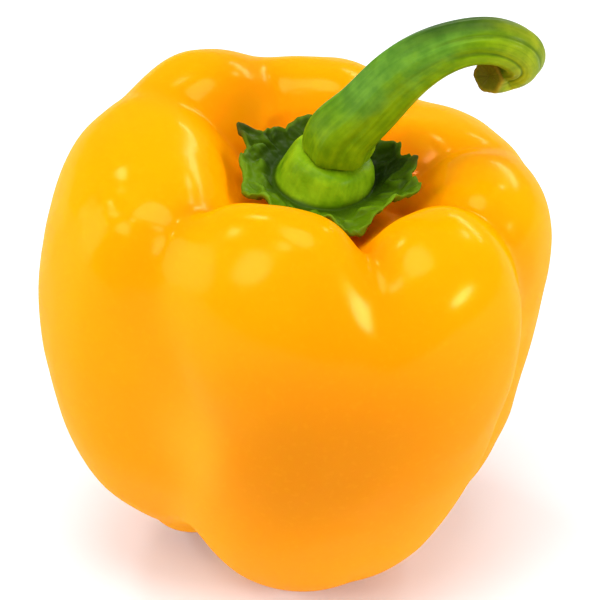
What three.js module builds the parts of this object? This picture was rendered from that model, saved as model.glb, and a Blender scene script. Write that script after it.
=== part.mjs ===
// A bell pepper standing on its base, with its calyx and its hooked stem.
// Millimetres, +Z up, front towards -Y. The origin is under the middle of the pepper,
// on the surface that it stands on.
import * as THREE from 'three';

// The fruit, ring by ring from the seat of the stem, over the crown and down to the blossom end:
// radius, height, and the way the skin faces in degrees above level.
const FRUIT_RINGS = [
  [0, 77.5, 90],
  [8, 77.5, 90],
  [14.5, 78.5, 112],
  [18.5, 84, 130],
  [24.5, 88, 95],
  [33.5, 85.5, 58],
  [41, 76, 25],
  [44, 61, 2],
  [42, 42, -8],
  [36.5, 24, -18],
  [28, 8.5, -38],
  [18, -0.8, -75],
  [9, 5, -110],
  [0, 8, -90],
];
const FRUIT_COLUMNS = 66;
const FRUIT_ROWS = 36;

// Each lobe: the way it faces in degrees, then how far it stands out at its shoulder, waist,
// belly and foot, and how much its crown and its foot are raised.
const LOBES = [
  { at: 180, shoulder: 6, waist: 4.5, belly: 3.2, foot: 7, crown: 2, lift: 4.6 },
  { at: 134, shoulder: 4.4, waist: 3.5, belly: 2, foot: 2, crown: 4.2, lift: -1.9 },
  { at: 94, shoulder: -1.5, waist: -2, belly: -1.5, foot: 0, crown: -2, lift: -0.5 },
  { at: 42, shoulder: -3.5, waist: -5.5, belly: -3, foot: -1, crown: -6.5, lift: -1.4 },
  { at: 2, shoulder: -1, waist: -4.3, belly: -0.6, foot: -1.2, crown: -3.5, lift: 3 },
  { at: -50, shoulder: 0.5, waist: -0.5, belly: -1.2, foot: -4, crown: -0.8, lift: 0 },
  { at: -108, shoulder: -1.5, waist: -1, belly: -1.2, foot: -3.2, crown: 4.2, lift: 0 },
];
const LOBE_SHARPNESS = 10;

// The ring where each swelling of a lobe is greatest, and how many rings it fades over.
const SWELLS = {
  shoulder: { ring: 5, fade: 1.5 },
  waist: { ring: 7, fade: 1.6 },
  belly: { ring: 9, fade: 1.6 },
  foot: { ring: 11, fade: 1 },
  crown: { ring: 4.4, fade: 1.9 },
  lift: { ring: 11, fade: 1.1 },
};

// Each furrow between two lobes: where it lies at the calyx, on the flank and at the foot, in
// degrees, how deep it is at the calyx, the shoulder, the flank and the foot, and half its width
// in degrees.
const FURROWS = [
  { at: [-142, -124, -145], deep: [6, 0, 4.5, 6.5], width: 12 },
  { at: [-77, -70, -70], deep: [6, 0.8, 0.7, 0.5], width: 8 },
  { at: [-27, -25, -28], deep: [4, 1.5, 6, 5], width: 8 },
  { at: [15, 20, 20], deep: [2.5, 0, 1.5, 2], width: 10 },
  { at: [64, 64, 64], deep: [5, 0, 3, 4], width: 12 },
  { at: [113, 113, 113], deep: [4.5, 0, 2, 3], width: 15 },
  { at: [152, 152, 158], deep: [4, 0, 3, 4], width: 13 },
];
const FURROW_TOP = { ring: 3.8, fade: 2 };
const FURROW_SHOULDER = { ring: 5.6, fade: 1.2 };
const FURROW_FLANK = { ring: 7.5, fade: 2.4 };
const FURROW_FOOT = { ring: 10.6, fade: 1.3 };
const FURROW_SHARP = 0.35;
const FURROW_SOFT = 1;

// A furrow wanders between its places over these heights.
const FLANK_TOP = 52;
const CALYX_LEVEL = 80;
const FLANK_FOOT = 40;

// The body bends towards the stem's side between these heights.
const LEAN_FROM = 20;
const LEAN_TO = 80;
const SEAT_X = 4;
const SEAT_Z = 77.5;

// The calyx, ring by ring from under the stem, down the collar, out along the cup and back
// underneath: radius, height over the seat, and the share of the rim's waves.
const CALYX_RINGS = [
  [0, 7.2, 0],
  [4, 7.2, 0],
  [6.4, 6.6, 0],
  [7.4, 4.6, 0],
  [8, 2.8, 0],
  [8.6, 1.9, 0.05],
  [10.2, 2.6, 0.35],
  [12.2, 3.6, 0.75],
  [13.8, 4.9, 1],
  [13.9, 4.1, 1],
  [12.2, 2.7, 0.75],
  [10.2, 1.7, 0.35],
  [8, 0.5, 0.05],
  [0, 0.4, 0],
];
const CALYX_COLUMNS = 80;
const CALYX_ROWS = 26;
const CALYX_RIM_ROW = 17;
const CALYX_X = SEAT_X - 1.4;

// The collar leans over to the stem's side, and its top slopes down that way.
const COLLAR_LEAN = 0.3;
const COLLAR_SLOPE = 0.24;
const COLLAR_HEIGHT = 7.2;

// Each point of the rim: where it is in degrees, how far it stands out and up, and half its width.
const RIM_POINTS = [
  { at: 152, out: 3.2, up: 2.4, width: 9 },
  { at: 178, out: 0.8, up: 0.6, width: 10 },
  { at: 205, out: 1.6, up: -0.8, width: 12 },
  { at: 246, out: 1, up: -1.5, width: 16 },
  { at: -73, out: 2.8, up: -2, width: 13 },
  { at: -50, out: 0.8, up: -0.6, width: 8 },
  { at: -27, out: 2.6, up: 0.8, width: 8 },
  { at: -3, out: 0.8, up: 1.6, width: 7 },
  { at: 18, out: -1.4, up: -0.4, width: 10 },
  { at: 42, out: -2.6, up: -1.4, width: 13 },
  { at: 95, out: 1, up: 0.3, width: 8 },
  { at: 122, out: 0, up: -1, width: 11 },
];
const CRINKLES = 11;
const CRINKLE_HEIGHT = 0.35;
const CRINKLE_DRIFT = 1.6;
const CRINKLE_DRIFTS = 3;

// The stem's middle line, a point every few millimetres, from the collar to the cut end of the hook.
const STEM_PATH = [
  [5.3, 0, 85.2],
  [6.5, 0, 89.3],
  [10.2, 0.3, 93.6],
  [14.8, 0.5, 99.4],
  [20, 0.6, 103.9],
  [25.6, 0.5, 106.5],
  [31, 0.5, 106.7],
  [34.7, 1.6, 103.7],
  [34.1, 3.9, 99.8],
  [31.8, 3.8, 98.5],
  [29.7, 1.6, 99],
];

// The stem, ring by ring from its base to the cut end: place along the path, and radius.
const STEM_RINGS = [
  [0, 0],
  [0, 4.6],
  [0.15, 5.8],
  [0.8, 5.9],
  [1.7, 5.4],
  [2.7, 5.1],
  [3.7, 4.7],
  [4.6, 4.2],
  [5.4, 4],
  [6.2, 4],
  [7, 4],
  [7.8, 3.9],
  [8.5, 3.7],
  [9.2, 3.4],
  [9.8, 3],
  [10, 2.5],
  [9.9, 1.3],
  [9.8, 0],
];
const STEM_COLUMNS = 24;
const STEM_ROWS = 38;
const STEM_RIDGES = 6;
const STEM_RIDGE_SHARE = 0.04;

const TURN = 2 * Math.PI;
const BUMP_HEIGHT = 2 / 3;
const SOLVE_ROUNDS = 60;
const HALF_STEP = 0.02;
const radians = THREE.MathUtils.degToRad;

// The cubic B-spline's bump: two steps wide on each side, and smooth.
function bump(x) {
  const far = Math.max(2 - Math.abs(x), 0);
  const near = Math.max(1 - Math.abs(x), 0);
  return (far ** 3 - 4 * near ** 3) / 6;
}

// The same bump, one unit high, round a ring.
function bell(ring, zone) {
  return bump((ring - zone.ring) / zone.fade) / BUMP_HEIGHT;
}

// The control values whose cubic B-spline passes through the given values, one past each end.
// Free ends run straight on, and the others end level.
function controls(values, free) {
  const last = values.length - 1;
  const end = (inner, edge) => (free ? 2 * edge - inner : inner);
  let row = values.slice();
  for (let round = 0; round < SOLVE_ROUNDS; round += 1) {
    row = values.map((value, i) => {
      const before = i > 0 ? row[i - 1] : end(row[1], row[0]);
      const after = i < last ? row[i + 1] : end(row[last - 1], row[last]);
      return (6 * value - before - after) / 4;
    });
  }
  return [end(row[1], row[0]), ...row, end(row[last - 1], row[last])];
}

// A smooth curve through one column of a table, read at a place between its rows.
function curve(table, column, free) {
  const control = controls(table.map((row) => row[column]), free);
  return (place) => control.reduce((sum, value, i) => sum + value * bump(place - i + 1), 0);
}

// The signed difference between two angles, within half a turn.
function turnBetween(angle, other) {
  return Math.atan2(Math.sin(angle - other), Math.cos(angle - other));
}

// One closed surface: point(angle, v) gives a ring's point, and both end rings are single points.
// Rows past the rim are split the other way, so that both faces of a thin blade split alike.
function skin(point, columns, rows, rimRow = rows) {
  const positions = [...point(0, 0)];
  for (let row = 1; row < rows; row += 1) {
    for (let column = 0; column < columns; column += 1) {
      positions.push(...point((TURN * column) / columns, row / rows));
    }
  }
  positions.push(...point(0, 1));
  const lastPoint = 1 + (rows - 1) * columns;
  const at = (row, column) => 1 + (row - 1) * columns + (column % columns);
  const faces = [];
  for (let column = 0; column < columns; column += 1) {
    faces.push(0, at(1, column), at(1, column + 1));
    for (let row = 1; row < rows - 1; row += 1) {
      const [a, b] = [at(row, column), at(row, column + 1)];
      const [c, d] = [at(row + 1, column), at(row + 1, column + 1)];
      if (row < rimRow) faces.push(a, c, d, a, d, b);
      else faces.push(a, c, b, c, d, b);
    }
    faces.push(lastPoint, at(rows - 1, column + 1), at(rows - 1, column));
  }
  const geometry = new THREE.BufferGeometry();
  geometry.setAttribute('position', new THREE.Float32BufferAttribute(positions, 3));
  geometry.setIndex(faces);
  geometry.computeVertexNormals();
  return geometry;
}

function material(color, roughness) {
  return new THREE.MeshStandardMaterial({ color, roughness, metalness: 0 });
}

// The lobes' swellings at an angle, each lobe pulling most where it faces.
function lobeSwells(angle) {
  const near = LOBES.map((lobe) => Math.cos(angle - radians(lobe.at)) - 1);
  const pulls = near.map((share) => Math.exp(LOBE_SHARPNESS * share));
  const total = pulls.reduce((sum, pull) => sum + pull, 0);
  const swells = {};
  for (const name of Object.keys(SWELLS)) {
    swells[name] = LOBES.reduce((sum, lobe, i) => sum + lobe[name] * pulls[i], 0) / total;
  }
  return swells;
}

// How deep the furrows cut the skin at an angle, a ring and a height.
function furrowDepth(angle, ring, height) {
  const high = THREE.MathUtils.smoothstep(height, FLANK_TOP, CALYX_LEVEL);
  const low = 1 - THREE.MathUtils.smoothstep(height, 0, FLANK_FOOT);
  const zones = [FURROW_TOP, FURROW_SHOULDER, FURROW_FLANK, FURROW_FOOT].map((zone) => bell(ring, zone));
  const edge = FURROW_SHARP + (FURROW_SOFT - FURROW_SHARP) * zones[2];
  return FURROWS.reduce((sum, { at, deep, width }) => {
    const place = at[1] + (at[0] - at[1]) * high + (at[2] - at[1]) * low;
    const away = turnBetween(angle, radians(place)) / radians(width);
    const notch = Math.exp(edge - Math.hypot(away, edge));
    return sum + notch * zones.reduce((depth, share, i) => depth + share * deep[i], 0);
  }, 0);
}

function fruit() {
  const radiusAt = curve(FRUIT_RINGS, 0, true);
  const heightAt = curve(FRUIT_RINGS, 1);
  const facingAt = curve(FRUIT_RINGS, 2);
  const point = (angle, v) => {
    const ring = v * (FRUIT_RINGS.length - 1);
    const swells = lobeSwells(angle);
    const share = (name) => swells[name] * bell(ring, SWELLS[name]);
    const height = heightAt(ring);
    const facing = radians(facingAt(ring));
    const cut = furrowDepth(angle, ring, height);
    const out = share('shoulder') + share('waist') + share('belly') + share('foot');
    const radius = radiusAt(ring) + out - cut * Math.cos(facing);
    const level = height + share('crown') + share('lift') - cut * Math.sin(facing);
    const lean = SEAT_X * THREE.MathUtils.smoothstep(height, LEAN_FROM, LEAN_TO);
    return [radius * Math.cos(angle) + lean, radius * Math.sin(angle), Math.max(level, 0)];
  };
  const mesh = new THREE.Mesh(skin(point, FRUIT_COLUMNS, FRUIT_ROWS), material(0xffb000, 0.25));
  mesh.name = 'fruit';
  return mesh;
}

function calyx() {
  const radiusAt = curve(CALYX_RINGS, 0, true);
  const heightAt = curve(CALYX_RINGS, 1);
  const waveAt = curve(CALYX_RINGS, 2);
  const point = (angle, v) => {
    const ring = v * (CALYX_RINGS.length - 1);
    const points = RIM_POINTS.map((tip) => {
      const hump = bump(turnBetween(angle, radians(tip.at)) / radians(tip.width)) / BUMP_HEIGHT;
      return { out: tip.out * hump, up: tip.up * hump };
    });
    const drift = CRINKLE_DRIFT * Math.sin(CRINKLE_DRIFTS * angle);
    const crinkle = CRINKLE_HEIGHT * Math.sin(CRINKLES * angle + drift);
    const out = points.reduce((sum, tip) => sum + tip.out, 0);
    const up = points.reduce((sum, tip) => sum + tip.up, crinkle);
    const [level, wave] = [heightAt(ring), waveAt(ring)];
    const radius = radiusAt(ring) + wave * out;
    const across = radius * Math.cos(angle);
    const slope = (COLLAR_SLOPE * across * (1 - wave) * level) / COLLAR_HEIGHT;
    const height = level + wave * up - slope;
    return [CALYX_X + COLLAR_LEAN * level + across, radius * Math.sin(angle), SEAT_Z + height];
  };
  const geometry = skin(point, CALYX_COLUMNS, CALYX_ROWS, CALYX_RIM_ROW);
  const mesh = new THREE.Mesh(geometry, material(0x4f8f1c, 0.5));
  mesh.name = 'calyx';
  return mesh;
}

function stem() {
  const [placeAt, radiusAt] = [curve(STEM_RINGS, 0), curve(STEM_RINGS, 1, true)];
  const path = [0, 1, 2].map((column) => curve(STEM_PATH, column, true));
  const onPath = (place) => new THREE.Vector3(...path.map((along) => along(place)));
  const point = (angle, v) => {
    const ring = v * (STEM_RINGS.length - 1);
    const place = placeAt(ring);
    const ahead = onPath(place + HALF_STEP).sub(onPath(place - HALF_STEP)).normalize();
    const side = new THREE.Vector3(0, 1, 0).addScaledVector(ahead, -ahead.y).normalize();
    const front = new THREE.Vector3().crossVectors(side, ahead);
    const radius = radiusAt(ring) * (1 + STEM_RIDGE_SHARE * Math.cos(STEM_RIDGES * angle));
    const spot = onPath(place);
    spot.addScaledVector(front, -radius * Math.cos(angle));
    spot.addScaledVector(side, radius * Math.sin(angle));
    return spot.toArray();
  };
  const mesh = new THREE.Mesh(skin(point, STEM_COLUMNS, STEM_ROWS), material(0x6f9a1e, 0.45));
  mesh.name = 'stem';
  return mesh;
}

const group = new THREE.Group();
group.add(fruit(), calyx(), stem());
const middle = new THREE.Box3().setFromObject(group, true).getCenter(new THREE.Vector3());
group.position.set(-middle.x, -middle.y, 0);

export default group;
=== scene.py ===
# %% [markdown]
# # A yellow bell pepper
#
# The pepper stands on its feet, with a crinkled calyx and a hooked stem. Three pieces grow from
# three rules: the fruit, the calyx and the stem. Each rule says where a point of the surface lies,
# given an angle round the piece and a place along it, so each piece is one smooth closed skin.
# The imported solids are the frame: they give the place, and the pieces made here stand for them.

# %% Load the frame
from functools import reduce
from operator import add

import bpy
import numpy as np
from math import cos, pi, radians, sin, tau
from mathutils import Matrix, Vector


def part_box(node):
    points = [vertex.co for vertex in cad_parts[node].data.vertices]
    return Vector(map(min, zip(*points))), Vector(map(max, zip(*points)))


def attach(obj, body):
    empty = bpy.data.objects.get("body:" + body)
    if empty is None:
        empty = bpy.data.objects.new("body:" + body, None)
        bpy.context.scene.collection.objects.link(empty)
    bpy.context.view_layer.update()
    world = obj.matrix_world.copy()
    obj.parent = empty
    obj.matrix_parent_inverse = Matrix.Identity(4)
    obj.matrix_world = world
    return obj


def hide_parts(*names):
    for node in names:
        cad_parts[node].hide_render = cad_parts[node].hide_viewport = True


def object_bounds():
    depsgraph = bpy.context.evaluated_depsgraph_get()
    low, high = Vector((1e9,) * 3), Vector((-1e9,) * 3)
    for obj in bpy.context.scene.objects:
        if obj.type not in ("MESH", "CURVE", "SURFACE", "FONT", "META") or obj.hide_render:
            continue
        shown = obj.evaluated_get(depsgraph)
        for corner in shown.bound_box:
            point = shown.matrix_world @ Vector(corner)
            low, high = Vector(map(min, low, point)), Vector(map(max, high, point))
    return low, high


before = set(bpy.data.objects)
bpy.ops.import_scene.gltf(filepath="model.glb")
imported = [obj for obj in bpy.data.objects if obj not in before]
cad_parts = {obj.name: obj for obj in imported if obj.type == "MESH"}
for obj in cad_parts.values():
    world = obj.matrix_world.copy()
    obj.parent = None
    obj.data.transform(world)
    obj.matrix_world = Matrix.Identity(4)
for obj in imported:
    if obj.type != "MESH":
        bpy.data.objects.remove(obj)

CAD_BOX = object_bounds()
MM = 0.001
DEGREE = radians(1)
size_mm = [round((high - low) / MM, 1) for low, high in zip(*CAD_BOX)]
print("the frame's size in millimetres:", size_mm)

# %% [markdown]
# ## Sums that become nodes
#
# Both the shapes and the finishes need a lot of arithmetic. Wired by hand it would be hundreds of
# Math nodes that nobody can read. Here a small class wraps a socket and takes over Python's own
# operators, so that a sum is written as a sum, and each step of it adds its node.

# %% A socket that can be added and multiplied
class Value:
    """A socket that Python's operators work on. Each operation adds a Math node."""

    def __init__(self, tree, socket):
        self.tree = tree
        self.socket = socket

    def math(self, operation, *inputs):
        return self.tree.add("ShaderNodeMath", {"operation": operation}, dict(enumerate(inputs)))

    def __add__(self, other):
        return self.math("ADD", self, other)

    def __radd__(self, other):
        return self.math("ADD", other, self)

    def __sub__(self, other):
        return self.math("SUBTRACT", self, other)

    def __rsub__(self, other):
        return self.math("SUBTRACT", other, self)

    def __mul__(self, other):
        return self.math("MULTIPLY", self, other)

    def __rmul__(self, other):
        return self.math("MULTIPLY", other, self)

    def __truediv__(self, other):
        return self.math("DIVIDE", self, other)

    def __pow__(self, other):
        return self.math("POWER", self, other)

    def __abs__(self):
        return self.math("ABSOLUTE", self)

    def least(self, floor):
        return self.math("MAXIMUM", self, floor)

    def sine(self):
        return self.math("SINE", self)

    def cosine(self):
        return self.math("COSINE", self)

    def root(self):
        return self.math("SQRT", self)

    def power_of_e(self):
        return self.math("EXPONENT", self)

    def within_half_turn(self):
        return self.math("WRAP", self, pi, -pi)

    def rise(self, low, high):
        """0 below low, 1 above high, and smooth between them."""
        ramp = {"Value": self, "From Min": low, "From Max": high}
        return self.tree.add("ShaderNodeMapRange", {"interpolation_type": "SMOOTHSTEP"}, ramp)

    def vector(self, operation, other=None, scale=None, output=0):
        """Vector Math, for sockets that hold a vector."""
        inputs = {0: self}
        if other is not None:
            inputs[1] = other
        if scale is not None:
            inputs["Scale"] = scale
        return self.tree.add("ShaderNodeVectorMath", {"operation": operation}, inputs, output)


class Tree:
    """A node tree with one way to add a node: its type, its settings and then its inputs."""

    def __init__(self, nodes):
        self.nodes = nodes

    def add(self, kind, settings=None, inputs=None, output=0):
        node = self.nodes.nodes.new(kind)
        for name, setting in (settings or {}).items():
            setattr(node, name, setting)
        for key, value in (inputs or {}).items():
            if isinstance(value, Value):
                self.nodes.links.new(value.socket, node.inputs[key])
            else:
                node.inputs[key].default_value = value
        return Value(self, node.outputs[output]) if node.outputs else None


def total(values):
    return reduce(add, values)


print("sums on sockets are ready")

# %% [markdown]
# ## A surface from a rule
#
# A vegetable could be sculpted, lathed or modelled by subdivision. A rule is chosen here because
# the same numbers then shape the solid and this finer skin. Geometry Nodes start from a flat
# grid. Its length becomes the angle round the piece and its width the place along it. Set
# Position moves each point to where the rule says, and Merge by Distance closes seam and poles.

# %% Grow a closed skin from a rule
# Points nearer than this, in metres, are one point.
SEAM_GAP = 1e-6


def named_input(group, name, value):
    kind = "NodeSocketInt" if isinstance(value, int) else "NodeSocketFloat"
    socket = group.interface.new_socket(name, in_out="INPUT", socket_type=kind)
    socket.default_value = value
    return socket.identifier


def grow(name, rule, sizes, finish=None):
    """A mesh from rule(tree, angle, along, size), which gives a point and what the skin remembers."""
    group = bpy.data.node_groups.new(name + "_rule", "GeometryNodeTree")
    identifiers = {label: named_input(group, label, value) for label, value in sizes.items()}
    group.interface.new_socket("Geometry", in_out="OUTPUT", socket_type="NodeSocketGeometry")
    tree = Tree(group)
    given = group.nodes.new("NodeGroupInput")
    size = {label: Value(tree, given.outputs[label]) for label in sizes}
    flat = tree.add("GeometryNodeMeshGrid", None, {
        "Size X": 1.0, "Size Y": 1.0,
        "Vertices X": size["Columns"] + 1, "Vertices Y": size["Rows"] + 1,
    })
    spot = tree.add("GeometryNodeInputPosition")
    across, along = [tree.add("ShaderNodeSeparateXYZ", None, {0: spot}, axis) + 0.5 for axis in (0, 1)]
    point, kept = rule(tree, across * tau, along, size)
    skin = flat
    for label, value in kept.items():
        kind = "FLOAT_VECTOR" if value.socket.type == "VECTOR" else "FLOAT"
        settings = {"data_type": kind, "domain": "POINT"}
        stored = {0: skin, "Name": label, "Value": value}
        skin = tree.add("GeometryNodeStoreNamedAttribute", settings, stored)
    skin = tree.add("GeometryNodeSetPosition", None, {"Geometry": skin, "Position": point})
    skin = tree.add("GeometryNodeMergeByDistance", None, {"Geometry": skin, "Distance": SEAM_GAP})
    skin = tree.add("GeometryNodeFlipFaces", None, {0: skin})
    skin = tree.add("GeometryNodeSetShadeSmooth", None, {0: skin, "Shade Smooth": True})
    skin = tree.add("GeometryNodeRealizeInstances", None, {0: skin})
    skin = tree.add("GeometryNodeSetMaterial", None, {"Geometry": skin, "Material": finish})
    tree.add("NodeGroupOutput", None, {0: skin})
    return bake(name, group, identifiers, sizes)


def bake(name, group, identifiers, sizes):
    """The evaluated result as a plain mesh object, with the modifier gone."""
    seed = bpy.data.objects.new(name + "_seed", bpy.data.meshes.new(name + "_seed"))
    bpy.context.scene.collection.objects.link(seed)
    modifier = seed.modifiers.new("rule", "NODES")
    modifier.node_group = group
    for label, value in sizes.items():
        modifier[identifiers[label]] = value
    grown = seed.evaluated_get(bpy.context.evaluated_depsgraph_get())
    mesh = bpy.data.meshes.new_from_object(grown)
    bpy.data.objects.remove(seed)
    mesh.name = name
    piece = bpy.data.objects.new(name, mesh)
    bpy.context.scene.collection.objects.link(piece)
    return piece


print("rules can now grow skins")

# %% [markdown]
# ## Curves through a few points
#
# A profile is a short table of rings, and what lies between two rings should be smooth. A cubic
# B-spline is a row of equal bumps, one for each ring, added together. It doesn't pass through
# its own control values, so a small set of equations first finds the ones that do. A radius runs
# straight on at its ends, to keep a pole round, and a height ends level there.

# %% Bumps and curves
BUMP_HEIGHT = 2 / 3


def bump(x):
    far = (2 - abs(x)).least(0)
    near = (1 - abs(x)).least(0)
    return (far ** 3 - 4 * near ** 3) / 6


def bell(x):
    """The same bump, one unit high."""
    return bump(x) / BUMP_HEIGHT


def controls(values, free):
    count = len(values)
    system = np.zeros((count + 2, count + 2))
    goal = np.zeros(count + 2)
    for row, value in enumerate(values):
        system[row + 1, row:row + 3] = 1, 4, 1
        goal[row + 1] = 6 * value
    for outside, edge, hook_shadow in ((0, 1, 2), (count + 1, count, count - 1)):
        system[outside, outside] = 1
        system[outside, edge] = -2 if free else 0
        system[outside, hook_shadow] = 1 if free else -1
    return [float(value) for value in np.linalg.solve(system, goal)]


def curves(place, table, free_columns):
    """Each column of a table, read on a smooth curve at a place between its rows."""
    bumps = [bump(place - row) for row in range(-1, len(table) + 1)]
    columns = enumerate(zip(*table))
    ways = [controls(column, number in free_columns) for number, column in columns]
    return [total(share * value for share, value in zip(bumps, way)) for way in ways]


print("a bump is", round(BUMP_HEIGHT, 3), "high")

# %% [markdown]
# ## The fruit's shape
#
# A blocky pepper grows as a few chambers round a core, and each swells into a lobe. The shape is
# a plain round profile first. Each lobe then adds its own swelling at shoulder, waist, belly and
# foot, and raises or lowers its crown. Between two lobes the skin is drawn in to a furrow, sharp
# by the calyx and soft on the flank. The radius, the height and the way that the skin faces are
# given for each ring, in millimetres and degrees.

# %% The fruit's rings, lobes and furrows
FRUIT_RINGS = [
    (0, 77.5, 90),
    (8, 77.5, 90),
    (14.5, 78.5, 112),
    (18.5, 84, 130),
    (24.5, 88, 95),
    (33.5, 85.5, 58),
    (41, 76, 25),
    (44, 61, 2),
    (42, 42, -8),
    (36.5, 24, -18),
    (28, 8.5, -38),
    (18, -0.8, -75),
    (9, 5, -110),
    (0, 8, -90),
]
# Where each lobe faces, then its swelling at shoulder, waist, belly and foot, and how much its
# crown and its foot are raised.
LOBES = [
    (180, 6, 4.5, 3.2, 7, 2, 4.6),
    (134, 4.4, 3.5, 2, 2, 4.2, -1.9),
    (94, -1.5, -2, -1.5, 0, -2, -0.5),
    (42, -3.5, -5.5, -3, -1, -6.5, -1.4),
    (2, -1, -4.3, -0.6, -1.2, -3.5, 3),
    (-50, 0.5, -0.5, -1.2, -4, -0.8, 0),
    (-108, -1.5, -1, -1.2, -3.2, 4.2, 0),
]
# The ring where each of those six is greatest, and how many rings it fades over.
SWELL_RINGS = [(5, 1.5), (7, 1.6), (9, 1.6), (11, 1), (4.4, 1.9), (11, 1.1)]
# Each furrow's place at the calyx, on the flank and at the foot, its depths at the calyx, the
# shoulder, the flank and the foot, and half its width in degrees.
FURROWS = [
    ((-142, -124, -145), (6, 0, 4.5, 6.5), 12),
    ((-77, -70, -70), (6, 0.8, 0.7, 0.5), 8),
    ((-27, -25, -28), (4, 1.5, 6, 5), 8),
    ((15, 20, 20), (2.5, 0, 1.5, 2), 10),
    ((64, 64, 64), (5, 0, 3, 4), 12),
    ((113, 113, 113), (4.5, 0, 2, 3), 15),
    ((152, 152, 158), (4, 0, 3, 4), 13),
]
# The ring where each of those four is greatest, and how many rings it fades over.
FURROW_RINGS = [(3.8, 2), (5.6, 1.2), (7.5, 2.4), (10.6, 1.3)]
# Between the first two heights a furrow turns from its place on the flank to the one at the
# calyx, and between the next two to the one at the foot.
CALYX_HEIGHTS = (52, 80)
FOOT_HEIGHTS = (0, 40)
# How round a furrow's bottom is at its ends and on the flank, as a share of its half width.
CREASED = 0.35
ROUNDED = 1.0
# The depth that the finish takes as a full furrow.
FULL_FURROW = 6
# The stem's seat lies a little to the right, and the fruit leans to it between these heights.
SEAT_X = 4
SEAT_Z = 77.5
LEAN_HEIGHTS = (20, 80)
# What raises or lowers the skin fades out this many rings from each pole, so that all the
# columns meet there in one point.
POLE_RINGS = 0.4
# Dimples are everywhere but on the feet. Ripples are on one shoulder: its turn, its ring, and
# how far they reach both ways.
DIMPLE_SCALE = 0.07
DIMPLE_HEIGHTS = (4, 20)
RIPPLE_SCALE = 0.17
RIPPLE_TURN, RIPPLE_DEGREES = 200, 28
RIPPLE_RING, RIPPLE_RINGS = 5, 1.5
print(len(LOBES), "lobes and", len(FURROWS), "furrows")


# %% The fruit's rule
def lobe_swells(angle, sharpness):
    pulls = [(sharpness * ((angle - radians(lobe[0])).cosine() - 1)).power_of_e() for lobe in LOBES]
    whole = total(pulls)
    kinds = range(1, len(SWELL_RINGS) + 1)
    return [total(pull * lobe[kind] for pull, lobe in zip(pulls, LOBES)) / whole for kind in kinds]


def furrow_depth(angle, ring, height):
    high = height.rise(*CALYX_HEIGHTS)
    low = 1 - height.rise(*FOOT_HEIGHTS)
    zones = [bell((ring - middle) / fade) for middle, fade in FURROW_RINGS]
    edge = CREASED + (ROUNDED - CREASED) * zones[2]
    notches = []
    for (top, flank, foot), depths, width in FURROWS:
        place = radians(flank) + radians(top - flank) * high + radians(foot - flank) * low
        away = (angle - place).within_half_turn() / radians(width)
        notch = (edge - (away * away + edge * edge).root()).power_of_e()
        notches.append(notch * total(zone * depth for zone, depth in zip(zones, depths)))
    return total(notches)


def fruit_rule(tree, angle, along, size):
    last = len(FRUIT_RINGS) - 1
    ring = along * last
    radius, height, facing = curves(ring, FRUIT_RINGS, {0})
    facing = facing * DEGREE
    swells = lobe_swells(angle, size["Lobe sharpness"])
    shares = [swell * bell((ring - middle) / fade) for swell, (middle, fade) in zip(swells, SWELL_RINGS)]
    cut = furrow_depth(angle, ring, height) * size["Furrow depth"]
    out = radius + total(shares[:4]) - cut * facing.cosine()
    off_poles = ring.rise(0, POLE_RINGS) * (1 - ring.rise(last - POLE_RINGS, last))
    level = height + (total(shares[4:]) - cut * facing.sine()) * off_poles
    lean = SEAT_X * height.rise(*LEAN_HEIGHTS)
    spot = [out * angle.cosine() + lean, out * angle.sine(), level.least(0)]
    spot = tree.add("ShaderNodeCombineXYZ", None, dict(enumerate(spot)))
    dimples, ripples = [
        tree.add("ShaderNodeTexNoise", None, {"Vector": spot, "Scale": scale, "Detail": 1.0})
        for scale in (DIMPLE_SCALE, RIPPLE_SCALE)
    ]
    near_turn = bell((angle - radians(RIPPLE_TURN)).within_half_turn() / radians(RIPPLE_DEGREES))
    near_ring = bell((ring - RIPPLE_RING) / RIPPLE_RINGS)
    ripples = ripples.rise(0.35, 0.65) * (near_turn * near_ring) * size["Ripple depth"]
    dimples = dimples.rise(0.3, 0.7) * size["Dimple depth"]
    shallow = (size["Inset"] + dimples + ripples) * level.rise(*DIMPLE_HEIGHTS)
    inward = tree.add("ShaderNodeCombineXYZ", None, {
        0: -1 * shallow * facing.cosine() * angle.cosine(),
        1: -1 * shallow * facing.cosine() * angle.sine(),
        2: -1 * shallow * facing.sine(),
    })
    point = spot.vector("ADD", inward).vector("SCALE", scale=MM)
    return point, {"furrow": cut / FULL_FURROW, "ring": ring}


# The skin lies a little inside the solid's faces, so that nothing stands proud of them.
fruit_sizes = {
    "Columns": 320, "Rows": 200, "Lobe sharpness": 10.0, "Furrow depth": 1.0,
    "Inset": 0.08, "Dimple depth": 0.35, "Ripple depth": 0.25,
}
print("fruit:", fruit_sizes)

# %% [markdown]
# ## The calyx's shape
#
# The calyx is what is left of the flower's green cup. Its collar is a low dome under the stem,
# and outside a narrow trough the cup turns up into a crinkled rim with uneven points. The rings
# go down the collar, out along the cup, round its edge and back underneath, so the leafy part
# is a real blade with two faces. Both faces take the same waves, so they never cross.

# %% The calyx's rings, points and rule
CALYX_RINGS = [
    (0, 7.2, 0),
    (4, 7.2, 0),
    (6.4, 6.6, 0),
    (7.4, 4.6, 0),
    (8, 2.8, 0),
    (8.6, 1.9, 0.05),
    (10.2, 2.6, 0.35),
    (12.2, 3.6, 0.75),
    (13.8, 4.9, 1),
    (13.9, 4.1, 1),
    (12.2, 2.7, 0.75),
    (10.2, 1.7, 0.35),
    (8, 0.5, 0.05),
    (0, 0.4, 0),
]
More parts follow.
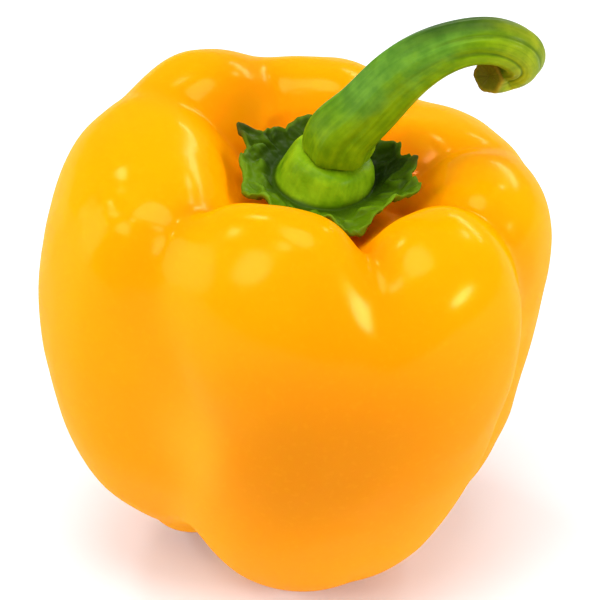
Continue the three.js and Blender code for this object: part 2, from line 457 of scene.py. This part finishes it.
# Where each point of the rim is, how far it stands out and up, and half its width in degrees.
RIM_POINTS = [
    (152, 3.2, 2.4, 9),
    (178, 0.8, 0.6, 10),
    (205, 1.6, -0.8, 12),
    (246, 1, -1.5, 16),
    (-73, 2.8, -2, 13),
    (-50, 0.8, -0.6, 8),
    (-27, 2.6, 0.8, 8),
    (-3, 0.8, 1.6, 7),
    (18, -1.4, -0.4, 10),
    (42, -2.6, -1.4, 13),
    (95, 1, 0.3, 8),
    (122, 0, -1, 11),
]
# The calyx's middle lies a little left of the seat's.
CALYX_X = SEAT_X - 1.4
# The collar leans and slopes to the stem's side, and has a few facets.
COLLAR_LEAN = 0.3
COLLAR_SLOPE = 0.24
COLLAR_HEIGHT = 7.2
COLLAR_RINGS = (3.5, 5)
FACETS, FACET_TURN = 5, 0.8
# The rim's even crinkle: how many, how far they sway from even, and how high they are.
CRINKLES, SWAYS, SWAY = 11, 3, 1.6
CRINKLE_HEIGHT = 0.35
NICK_SCALE = 4.5
FOLD_SCALE = 0.24
# How much the streaks change from one ring to the next.
CALYX_GRAIN = 0.1


def calyx_rule(tree, angle, along, size):
    ring = along * (len(CALYX_RINGS) - 1)
    radius, level, wave = curves(ring, CALYX_RINGS, {0})
    humps = [
        bell((angle - radians(at)).within_half_turn() / radians(width))
        for at, _, _, width in RIM_POINTS
    ]
    out = total(hump * point[1] for hump, point in zip(humps, RIM_POINTS))
    up = total(hump * point[2] for hump, point in zip(humps, RIM_POINTS))
    crinkle = (CRINKLES * angle + SWAY * (SWAYS * angle).sine()).sine() * CRINKLE_HEIGHT
    nicks = tree.add("ShaderNodeTexNoise", None, {
        "Vector": tree.add("ShaderNodeCombineXYZ", None, {0: angle.cosine(), 1: angle.sine()}),
        "Scale": NICK_SCALE, "Detail": 2.0,
    }) - 0.5
    collar = 1 - ring.rise(*COLLAR_RINGS)
    facets = 1 + size["Collar facets"] * collar * (FACETS * angle + FACET_TURN).cosine()
    out = radius * facets + wave * (out + nicks * size["Nicks"])
    across = out * angle.cosine()
    aside = out * angle.sine()
    flat_spot = tree.add("ShaderNodeCombineXYZ", None, {0: across, 1: aside})
    folds = tree.add("ShaderNodeTexNoise", None, {
        "Vector": flat_spot, "Scale": FOLD_SCALE, "Detail": 1.5, "Distortion": 0.6,
    })
    crumple = abs(folds - 0.5).rise(0, 0.22) * wave.rise(0, 0.4) * size["Crumple"]
    slope = COLLAR_SLOPE * across * (1 - wave) * level / COLLAR_HEIGHT
    height = level + wave * (up + crinkle + nicks) + crumple - slope
    spot = [CALYX_X + COLLAR_LEAN * level + across, aside, SEAT_Z + height]
    spot = tree.add("ShaderNodeCombineXYZ", None, dict(enumerate(spot)))
    grain = {0: angle.cosine(), 1: angle.sine(), 2: ring * CALYX_GRAIN}
    grain = tree.add("ShaderNodeCombineXYZ", None, grain)
    dry = wave.rise(0.85, 1) * up.rise(0.7, 1.6)
    kept = {"ring": ring, "wave": wave, "grain": grain, "fold": crumple, "dry": dry}
    return spot.vector("SCALE", scale=MM), kept


calyx_sizes = {"Columns": 400, "Rows": 110, "Collar facets": 0.035, "Nicks": 1.6, "Crumple": 1.1}
print(len(RIM_POINTS), "points on the rim")

# %% [markdown]
# ## The stem's shape
#
# The stem rises from the collar, leans over to one side and hooks back on itself, and its end
# is cut off and a little sunken. Its middle line passes through a few points, and each ring of
# skin stands square to that line. Long shallow ridges run up it, as on the real stalk.

# %% The stem's path, rings and rule
STEM_PATH = [
    (5.3, 0, 85.2),
    (6.5, 0, 89.3),
    (10.2, 0.3, 93.6),
    (14.8, 0.5, 99.4),
    (20, 0.6, 103.9),
    (25.6, 0.5, 106.5),
    (31, 0.5, 106.7),
    (34.7, 1.6, 103.7),
    (34.1, 3.9, 99.8),
    (31.8, 3.8, 98.5),
    (29.7, 1.6, 99),
]
# Place along the path, and radius.
STEM_RINGS = [
    (0, 0),
    (0, 4.6),
    (0.15, 5.8),
    (0.8, 5.9),
    (1.7, 5.4),
    (2.7, 5.1),
    (3.7, 4.7),
    (4.6, 4.2),
    (5.4, 4),
    (6.2, 4),
    (7, 4),
    (7.8, 3.9),
    (8.5, 3.7),
    (9.2, 3.4),
    (9.8, 3),
    (10, 2.5),
    (9.9, 1.3),
    (9.8, 0),
]
# How far ahead and behind the line is read to find which way it runs.
HALF_STEP = 0.02
# The skin lies this share of the radius inside the solid's faces.
STEM_INSET = 0.01
RIDGES, RIDGE_SHARE = 6, 0.04
# The finer ridges and the creases sway from even as they run along.
FINE_RIDGES, FINE_SWAY = 17, 6
CREASES, CREASE_SWAY = 7, 9
# How much the streaks change from one point of the line to the next.
STEM_GRAIN = 0.12
BEND_STARTS = (3.2, 5.4)
BEND_ENDS = (8.8, 9.6)


def stem_rule(tree, angle, along, size):
    ring = along * (len(STEM_RINGS) - 1)
    place, radius = curves(ring, STEM_RINGS, {1})

    def on_path(at):
        return tree.add("ShaderNodeCombineXYZ", None, dict(enumerate(curves(at, STEM_PATH, {0, 1, 2}))))

    ahead = on_path(place + HALF_STEP).vector("SUBTRACT", on_path(place - HALF_STEP)).vector("NORMALIZE")
    front = ahead.vector("CROSS_PRODUCT", (0, 1, 0)).vector("NORMALIZE")
    side = front.vector("CROSS_PRODUCT", ahead)
    ridges = 1 + RIDGE_SHARE * (RIDGES * angle).cosine()
    grain = {0: angle.cosine(), 1: angle.sine(), 2: place * STEM_GRAIN}
    grain = tree.add("ShaderNodeCombineXYZ", None, grain)
    wander = tree.add("ShaderNodeTexNoise", None, {"Vector": grain, "Scale": 1.8, "Detail": 1.0})
    fine = (FINE_RIDGES * angle + FINE_SWAY * wander).cosine() - 1
    bend = place.rise(*BEND_STARTS) * (1 - place.rise(*BEND_ENDS))
    crease = bend * (0.5 + 0.5 * (CREASES * angle + CREASE_SWAY * wander).cosine()) ** 3
    crease = crease * wander.rise(0.25, 0.6)
    radius = radius * (ridges + size["Fine ridge"] * fine - size["Crease depth"] * crease - STEM_INSET)
    forward = front.vector("SCALE", scale=radius * angle.cosine())
    sideways = side.vector("SCALE", scale=radius * angle.sine())
    spot = on_path(place).vector("ADD", forward).vector("ADD", sideways)
    kept = {"place": place, "ring": ring, "grain": grain, "crease": crease}
    return spot.vector("SCALE", scale=MM), kept


stem_sizes = {"Columns": 160, "Rows": 260, "Fine ridge": 0.008, "Crease depth": 0.06}
print(len(STEM_PATH), "points on the stem's line")

# %% [markdown]
# ## Does the rule match the solid?
#
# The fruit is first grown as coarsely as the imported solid. Its box then has to be the solid's
# box, moved sideways, because the solid's origin is under the middle of the pepper. The
# difference gives that move, and what is left over says how well the two agree.

# %% Find where the frame stands
COARSE = {"Columns": 66, "Rows": 36, "Inset": 0.0, "Dimple depth": 0.0, "Ripple depth": 0.0}
SOLID_FRUIT = {**fruit_sizes, **COARSE}


def box_of(mesh):
    corners = np.empty(3 * len(mesh.vertices))
    mesh.vertices.foreach_get("co", corners)
    corners = corners.reshape(-1, 3)
    return Vector(corners.min(0)), Vector(corners.max(0))


probe = grow("probe", fruit_rule, SOLID_FRUIT)
probe_low, probe_high = box_of(probe.data)
solid_low, solid_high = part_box("fruit")
MOVE = solid_low - probe_low
bpy.data.objects.remove(probe)
left_over = (probe_high + MOVE - solid_high).length / MM
print("moved by", [round(value / MM, 3) for value in MOVE], "mm, leaving", left_over)

# %% [markdown]
# ## The skin's finish
#
# Ripe skin is a smooth waxy coat over deep yellow flesh. The colour isn't even: the crown and
# the shoulders are a clearer yellow and the belly deeper, partly the flesh's own tone and partly
# painted light from above and painted shade below. Low on the front a deeper orange is painted
# as shade where the belly faces down, and by the calyx the furrows and the pit turn orange. Low
# on the flanks the furrows are painted paler, a painted reflection of the floor's light in them.
# Their depth was stored on the skin when it was grown, so the finish can read it. Light goes
# into the flesh and comes out warmer, which keeps the hollows bright. The wax is a thin coat. A
# little of the gloss takes the skin's own colour, because a white floor would otherwise make the
# flanks look milky.

# %% Paint the skin
def new_finish(name):
    material = bpy.data.materials.new(name)
    material.use_nodes = True
    material.node_tree.nodes.clear()
    return material, Tree(material.node_tree)


def mixed(tree, share, first, second, way="MIX"):
    settings = {"data_type": "RGBA", "blend_type": way}
    return tree.add("ShaderNodeMix", settings, {0: share, 6: first, 7: second}, 2)


def noise(tree, where, scale, detail=2.0, stretch=None):
    if stretch:
        where = tree.add("ShaderNodeMapping", None, {"Vector": where, "Scale": stretch})
    inputs = {"Vector": where, "Scale": scale, "Detail": detail}
    return tree.add("ShaderNodeTexNoise", None, inputs, "Fac")


def remembered(tree, label, output="Fac"):
    return tree.add("ShaderNodeAttribute", {"attribute_name": label}, None, output)


def bumped(tree, height, distance, strength=1.0):
    inputs = {"Height": height, "Distance": distance, "Strength": strength}
    return tree.add("ShaderNodeBump", None, inputs)


def close_finish(tree, sockets):
    shader = tree.add("ShaderNodeBsdfPrincipled", None, sockets)
    tree.add("ShaderNodeOutputMaterial", None, {"Surface": shader})


# Painted shade low on the front, where the belly faces down: a place, and how far its deeper orange
# reaches.
BELLY_SHADE_SPOT = (6 * MM, -40 * MM, 52 * MM)
BELLY_SHADE_REACH = 46 * MM
DEEP_SHADED_YELLOW = (0.92, 0.297, 0.0, 1)
CLEAR_LIT_YELLOW = (0.95, 0.335, 0.0, 1)
BELLY_SHADE_ORANGE = (0.66, 0.2, 0.0, 1)
FURROW_GLEAM_YELLOW = (0.95, 0.42, 0.015, 1)
FURROW_ORANGE = (0.95, 0.22, 0.0, 1)
PIT_ORANGE = (1.0, 0.24, 0.0, 1)
FLECK_YELLOW = (1.0, 0.5, 0.02, 1)
SCAR_BROWN = (0.16, 0.08, 0.02, 1)


def paint_skin():
    material, tree = new_finish("waxy_skin")
    where = tree.add("ShaderNodeTexCoord", None, None, "Object")
    height = tree.add("ShaderNodeSeparateXYZ", None, {0: where}, 2) / (SEAT_Z * MM)
    furrow = remembered(tree, "furrow")
    ring = remembered(tree, "ring")
    cloud = noise(tree, where, 28.0)
    # Clearer yellow up to the crown and deeper below: partly the flesh's own tone, partly painted light
    # from above and painted shade below.
    colour = mixed(tree, (height + 0.5 * cloud).rise(0.6, 1.5), DEEP_SHADED_YELLOW, CLEAR_LIT_YELLOW)
    # A deeper orange painted low on the front, as shade where the belly faces down.
    away = where.vector("DISTANCE", BELLY_SHADE_SPOT, output="Value")
    belly_shade = 1 - (away + 0.012 * cloud).rise(0.2 * BELLY_SHADE_REACH, BELLY_SHADE_REACH)
    colour = mixed(tree, belly_shade * 0.9, colour, BELLY_SHADE_ORANGE)
    # Low on the flanks the furrows are painted paler: a painted reflection of the floor's light in them.
    furrow_gleam = furrow.rise(0.4, 0.85) * (1 - height.rise(0.6, 0.9))
    colour = mixed(tree, furrow_gleam * 0.55, colour, FURROW_GLEAM_YELLOW)
    orange = (furrow * height.rise(0.5, 0.95)).rise(0.25, 1.1)
    colour = mixed(tree, orange * 0.5, colour, FURROW_ORANGE)
    pit = 1 - ring.rise(1.9, 3.0)
    colour = mixed(tree, pit * 0.9, colour, PIT_ORANGE)
    fleck = noise(tree, where, 900.0, 1.0).rise(0.55, 0.75)
    colour = mixed(tree, fleck * 0.05, colour, FLECK_YELLOW)
    scar = ring.rise(12.65, 12.85)
    colour = mixed(tree, scar, colour, SCAR_BROWN)
    pores = noise(tree, where, 700.0, 1.0)
    orange_peel = noise(tree, where, 160.0)
    relief = bumped(tree, 0.25 * pores + orange_peel, 0.00006)
    close_finish(tree, {
        "Base Color": colour,
        "Roughness": 0.18 + 0.08 * cloud + 0.4 * scar,
        "Metallic": 0.05,
        "Specular IOR Level": 0.0,
        "Coat Weight": 0.1,
        "Coat Roughness": 0.16,
        "Subsurface Weight": 0.35,
        "Subsurface Radius": (1.0, 0.35, 0.04),
        "Subsurface Scale": 0.006,
        "Normal": relief,
    })
    return material


skin_finish = paint_skin()
print("the skin's tree has", len(skin_finish.node_tree.nodes), "nodes")

# %% [markdown]
# ## The greens' finish
#
# The collar is a fresh yellow-green and the trough round it is painted dark as shade. The cup is
# leaf green, painted lighter in front and darker behind as painted shade, with crinkles painted
# lighter as painted highlights, a paler edge and dry dark tips. The stem is mid green with a blue
# bloom that is partly painted sheen. It is olive low in front and green behind, partly its own
# colour and partly painted shade, and it is painted dark along its back, dark olive inside the
# hook and darker in its creases, as painted shade. It is yellow-green at the hook. Its cut end is
# dull olive in a browner rim. Fine streaks run outwards on the calyx and along the stem. They
# follow the grain that each rule stored, not plain space.

# %% The greens
LIT_LEAF_GREEN = (0.085, 0.17, 0.001, 1)
SHADED_LEAF_GREEN = (0.028, 0.06, 0.001, 1)
TROUGH_SHADE_GREEN = (0.02, 0.05, 0.001, 1)
FOLD_LIT_GREEN = (0.13, 0.26, 0.005, 1)
EDGE_PALE = (0.16, 0.28, 0.01, 1)
TIP_DRY = (0.05, 0.05, 0.01, 1)
COLLAR_DEEP = (0.11, 0.24, 0.001, 1)
COLLAR_FRESH = (0.22, 0.38, 0.005, 1)
VEIN_DARK = (0.82, 0.86, 0.75, 1)
VEIN_LIGHT = (1.08, 1.05, 1.0, 1)
LIT_STEM_OLIVE = (0.165, 0.28, 0.001, 1)
SHADED_STEM_GREEN = (0.1, 0.225, 0.003, 1)
BLOOM_SHEEN_BLUE = (0.09, 0.25, 0.03, 1)
STEM_BACK_SHADE = (0.035, 0.08, 0.006, 1)
HOOK_YELLOW = (0.32, 0.37, 0.012, 1)
HOOK_INSIDE_SHADOW = (0.12, 0.135, 0.001, 1)
BASE_GREEN = (0.17, 0.31, 0.002, 1)
CREASE_SHADE_OLIVE = (0.08, 0.15, 0.003, 1)
STREAK_DARK = (0.6, 0.7, 0.55, 1)
STREAK_LIGHT = (1.18, 1.12, 1.0, 1)
RIM_BROWN = (0.36, 0.17, 0.01, 1)
CUT_OLIVE = (0.11, 0.12, 0.003, 1)
# The faint sheen and the glow that both greens share.
GREEN_SHEEN = {
    "Specular IOR Level": 0.05,
    "Specular Tint": (0.8, 1.0, 0.4, 1),
    "Coat Weight": 0.08,
    "Coat Roughness": 0.3,
    "Subsurface Weight": 0.08,
    "Subsurface Radius": (0.4, 0.8, 0.1),
}
print("the stem's green is", SHADED_STEM_GREEN[:3])


# %% Paint the calyx
def paint_calyx():
    material, tree = new_finish("leafy_calyx")
    ring, wave = remembered(tree, "ring"), remembered(tree, "wave")
    fold, dry = remembered(tree, "fold"), remembered(tree, "dry")
    grain = remembered(tree, "grain", "Vector")
    where = tree.add("ShaderNodeTexCoord", None, None, "Object")
    to_right, to_back = [tree.add("ShaderNodeSeparateXYZ", None, {0: grain}, axis) for axis in (0, 1)]
    streak = noise(tree, grain, 6.0, 3.0, (1.0, 1.0, 0.35))
    patch = noise(tree, where, 230.0, 3.0)
    # Painted shade: the cup is darker behind and to the right, and lighter in front.
    side_shade = (0.35 * to_right + 1.1 * to_back + 1.3 * (patch - 0.5)).rise(-0.5, 0.25)
    colour = mixed(tree, side_shade, LIT_LEAF_GREEN, SHADED_LEAF_GREEN)
    # Painted shade in the trough round the collar.
    trough_shade = 1 - wave.rise(0.1, 0.55)
    colour = mixed(tree, trough_shade * 0.8, colour, TROUGH_SHADE_GREEN)
    # Painted highlights on the crinkles' raised ridges, weaker on the shaded side.
    colour = mixed(tree, fold.rise(0.5, 1.0) * (0.5 - 0.3 * side_shade), colour, FOLD_LIT_GREEN)
    edge = wave.rise(0.88, 1.0)
    colour = mixed(tree, edge * 0.4, colour, EDGE_PALE)
    colour = mixed(tree, dry * 0.8, colour, TIP_DRY)
    collar = 1 - ring.rise(4.0, 4.7)
    fresh = mixed(tree, (1.4 * patch - 0.05 * to_right).rise(0.4, 0.9), COLLAR_DEEP, COLLAR_FRESH)
    colour = mixed(tree, collar, colour, fresh)
    vein = mixed(tree, streak.rise(0.3, 0.7), VEIN_DARK, VEIN_LIGHT)
    colour = mixed(tree, 0.7, colour, vein, "MULTIPLY")
    close_finish(tree, {
        **GREEN_SHEEN,
        "Base Color": colour,
        "Roughness": 0.45 + 0.2 * patch,
        "Subsurface Scale": 0.0015,
        "Normal": bumped(tree, 0.4 * streak + patch, 0.0007, 0.9),
    })
    return material


calyx_finish = paint_calyx()
print("the calyx's tree has", len(calyx_finish.node_tree.nodes), "nodes")


# %% Paint the stem
def paint_stem():
    material, tree = new_finish("green_stem")
    place, ring = remembered(tree, "place"), remembered(tree, "ring")
    crease = remembered(tree, "crease")
    grain = remembered(tree, "grain", "Vector")
    where = tree.add("ShaderNodeTexCoord", None, None, "Object")
    to_top, to_back = [tree.add("ShaderNodeSeparateXYZ", None, {0: grain}, axis) for axis in (0, 1)]
    streak = noise(tree, grain, 5.0, 4.0, (1.0, 1.0, 0.4))
    patch = noise(tree, where, 170.0, 3.0)
    mottle = noise(tree, where, 420.0, 3.0)
    # Olive low in front and green behind: partly the stem's own colour, partly painted shade on the side
    # away from the lights.
    side_shade = (0.6 * to_top + 0.8 * to_back + 0.9 * (patch - 0.5)).rise(-0.9, 0.5)
    colour = mixed(tree, side_shade, LIT_STEM_OLIVE, SHADED_STEM_GREEN)
    # The blue bloom: partly the stalk's real wax bloom, partly a painted sheen on its upper side.
    bloom_and_sheen = place.rise(1.2, 2.6) * (1 - place.rise(4.6, 5.6)) * (patch + 0.3 * to_top).rise(0.4, 0.7)
    colour = mixed(tree, bloom_and_sheen * 0.6, colour, BLOOM_SHEEN_BLUE)
    # Painted shade along the stem's upper back, from the middle on.
    back_shade = (0.7 * to_top + 0.7 * to_back + 0.5 * (streak - 0.5)).rise(-0.1, 0.7) * place.rise(3.0, 4.6)
    colour = mixed(tree, back_shade * 0.9, colour, STEM_BACK_SHADE)
    tip = place.rise(5.2, 7.0) * (1 - 0.5 * (0.5 * to_back + 0.5 * to_top).rise(0.3, 1.0))
    colour = mixed(tree, tip * 0.75, colour, HOOK_YELLOW)
    # Painted shadow on the inside of the hook.
    hook_shadow = place.rise(5.8, 7.6) * (1 - (to_top + 0.3 * (streak - 0.5)).rise(-0.8, 0.3))
    colour = mixed(tree, hook_shadow * 0.8, colour, HOOK_INSIDE_SHADOW)
    colour = mixed(tree, (1 - place.rise(0.2, 1.6)) * 0.6, colour, BASE_GREEN)
    # Painted shade in the creases at the bend.
    colour = mixed(tree, crease.rise(0.3, 0.9) * 0.65, colour, CREASE_SHADE_OLIVE)
    shades = mixed(tree, (0.45 * streak + 0.55 * mottle).rise(0.35, 0.65), STREAK_DARK, STREAK_LIGHT)
    colour = mixed(tree, 0.9, colour, shades, "MULTIPLY")
    rim = ring.rise(13.6, 14.8)
    colour = mixed(tree, rim * 0.55, colour, RIM_BROWN)
    cut = ring.rise(15.0, 15.5)
    colour = mixed(tree, cut * 0.7, colour, CUT_OLIVE)
    close_finish(tree, {
        **GREEN_SHEEN,
        "Base Color": colour,
        "Roughness": 0.42 + 0.2 * patch + 0.2 * cut,
        "Subsurface Scale": 0.002,
        "Normal": bumped(tree, streak + 0.5 * mottle, 0.00025, 0.8),
    })
    return material


stem_finish = paint_stem()
print("the stem's tree has", len(stem_finish.node_tree.nodes), "nodes")

# %% [markdown]
# ## Grow the three pieces
#
# Each rule is now grown finely, with its finish, and moved to where the frame stands. Each piece
# stands for one solid of the frame and rides on the part's one body.

# %% Grow the fruit, the calyx and the stem
def place_piece(name, rule, sizes, finish, node):
    piece = grow(name, rule, sizes, finish)
    piece.data.transform(Matrix.Translation(MOVE))
    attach(piece, "root")
    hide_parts(node)
    print(name, len(piece.data.polygons), "faces")


place_piece("pepper_fruit", fruit_rule, fruit_sizes, skin_finish, "fruit")
place_piece("pepper_calyx", calyx_rule, calyx_sizes, calyx_finish, "calyx")
place_piece("pepper_stem", stem_rule, stem_sizes, stem_finish, "stem")

# %% [markdown]
# ## The floor, the lights and the camera
#
# The pepper is seen from the front and 40 degrees above, from about half a metre, on a pale
# floor. Small soft boxes all round give the soft glints on each lobe, a wide one low on the left
# lights that flank, and a wide one overhead lights the crown and the seat of the stem. A bright
# even surround keeps the shade light.

# %% The floor
FLOOR_HALF = 1.5
FLOOR_WHITE = (0.86, 0.885, 0.93, 1)
floor_mesh = bpy.data.meshes.new("floor")
corners = [(x * FLOOR_HALF, y * FLOOR_HALF, 0.0) for x, y in ((-1, -1), (1, -1), (1, 1), (-1, 1))]
floor_mesh.from_pydata(corners, [], [(0, 1, 2, 3)])
floor = bpy.data.objects.new("floor", floor_mesh)
bpy.context.scene.collection.objects.link(floor)
floor_finish, floor_tree = new_finish("pale_floor")
close_finish(floor_tree, {"Base Color": FLOOR_WHITE, "Roughness": 0.8, "Specular IOR Level": 0.1})
floor_mesh.materials.append(floor_finish)
print("floor", 2 * FLOOR_HALF, "m wide")

# %% The lights
AIM = Vector((0.0, 0.0, 0.055))


def outward(turn, lift):
    """The way to a place seen from the pepper: degrees round from the front to the right, and up."""
    return Vector((
        sin(radians(turn)) * cos(radians(lift)),
        -cos(radians(turn)) * cos(radians(lift)),
        sin(radians(lift)),
    ))


def soft_box(name, turn, lift, distance, width, depth, watts):
    light = bpy.data.lights.new(name, "AREA")
    light.shape = "ELLIPSE"
    light.size, light.size_y = width, depth
    light.energy = watts
    holder = bpy.data.objects.new(name, light)
    bpy.context.scene.collection.objects.link(holder)
    holder.location = AIM + outward(turn, lift) * distance
    holder.rotation_euler = (AIM - holder.location).to_track_quat("-Z", "Y").to_euler()


# Name, turn and lift in degrees, distance, width and depth in metres, and power in watts.
SOFT_BOXES = [
    ("front_right_box", 61, 23, 1.2, 0.56, 0.2, 7.5),
    ("front_left_box", -50, 38, 1.2, 0.46, 0.46, 3.5),
    ("left_box", -95, 44, 1.2, 0.18, 0.2, 1.5),
    ("left_high_box", -40, 60, 1.2, 0.22, 0.22, 1.1),
    ("back_right_box", 147, 22, 1.2, 0.66, 0.15, 3.6),
    ("back_high_box", 136, 37, 1.2, 0.12, 0.12, 0.8),
    ("back_left_box", -139, 56, 1.2, 0.2, 0.2, 2),
    ("left_wide_box", -88, 14, 1.2, 0.75, 0.75, 4.4),
    ("top_box", 0, 85, 1.5, 0.9, 0.9, 12),
]
for box in SOFT_BOXES:
    soft_box(*box)
SURROUND_STRENGTH = 0.4
world = bpy.data.worlds.new("surround")
world.use_nodes = True
backdrop = world.node_tree.nodes["Background"]
backdrop.inputs["Color"].default_value = (1, 1, 1, 1)
backdrop.inputs["Strength"].default_value = SURROUND_STRENGTH
bpy.context.scene.world = world
bpy.context.scene.view_settings.view_transform = "Standard"
print(len(SOFT_BOXES), "soft boxes and a bright surround")

# %% The camera
CAMERA_LIFT = 40
CAMERA_DISTANCE = 0.5
LENS_MM = 174
SENSOR_MM = 36
camera_data = bpy.data.cameras.new("camera")
camera_data.lens = LENS_MM
camera_data.sensor_width = SENSOR_MM
camera = bpy.data.objects.new("camera", camera_data)
bpy.context.scene.collection.objects.link(camera)
LOOK_AT = Vector((-0.0008, 0, 0.053)) + MOVE
camera.location = LOOK_AT + outward(0, CAMERA_LIFT) * CAMERA_DISTANCE
camera.rotation_euler = (LOOK_AT - camera.location).to_track_quat("-Z", "Y").to_euler()
bpy.context.scene.camera = camera
print("camera at", [round(value, 3) for value in camera.location])
